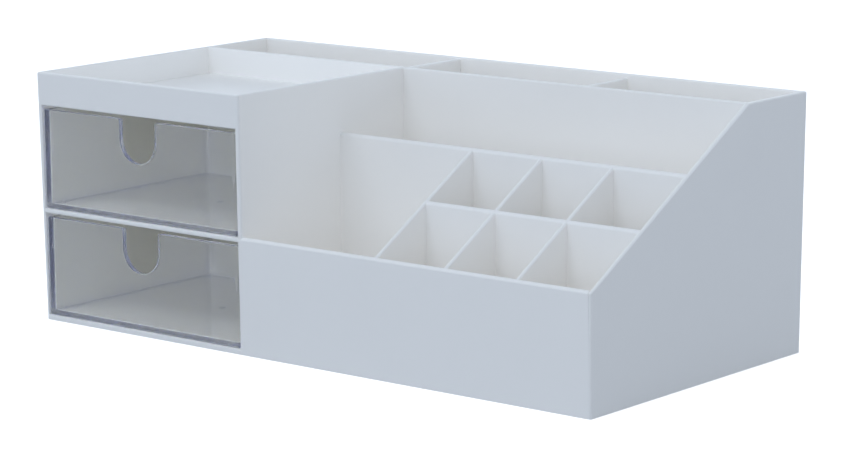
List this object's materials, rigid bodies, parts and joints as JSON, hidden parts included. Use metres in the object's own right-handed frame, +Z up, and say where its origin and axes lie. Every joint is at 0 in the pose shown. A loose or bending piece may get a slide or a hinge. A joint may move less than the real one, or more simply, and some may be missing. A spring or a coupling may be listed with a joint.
{
  "type": "desk organizer",
  "caption": "White desk organizer: a tower with a top tray over clear pull-out drawers, a sloping open front with a divided grid, and a tall back row of bins.",
  "frame": {"origin": "middle of the footprint, on the surface that the organizer stands on", "axes": "+X along the width, from the drawer tower to the sloped side; +Y to the back; +Z up. The drawers pull out towards -Y"},
  "size_m": [0.33, 0.163, 0.121],
  "materials": {
    "case_white": "satin",
    "drawer_clear": "clear polished"
  },
  "bodies": {
    "case": {"left_side_panel": "case_white", "right_side_panel": "case_white", "back_panel": "case_white", "front_panel": "case_white", "tower_base_panel": "case_white", "bin_base_panel": "case_white", "tower_side_panel": "case_white", "tower_back_panel": "case_white", "tower_front_header": "case_white", "drawer_shelf": "case_white", "tray_floor_panel": "case_white", "rear_partition": "case_white", "middle_partition": "case_white", "back_row_divider_left": "case_white", "back_row_divider_right": "case_white", "grid_cross_divider_left": "case_white", "grid_cross_divider_middle": "case_white", "grid_cross_divider_right": "case_white", "grid_row_divider": "case_white"},
    "lower_drawer": {"lower_drawer": "drawer_clear"},
    "upper_drawer": {"upper_drawer": "drawer_clear"}
  },
  "joints": [
    {"name": "lower_drawer_slide", "type": "slide", "parent": "case", "child": "lower_drawer", "axis": [0, -1, 0], "range_m": [0, 0.1]},
    {"name": "upper_drawer_slide", "type": "slide", "parent": "case", "child": "upper_drawer", "axis": [0, -1, 0], "range_m": [0, 0.1]}
  ]
}
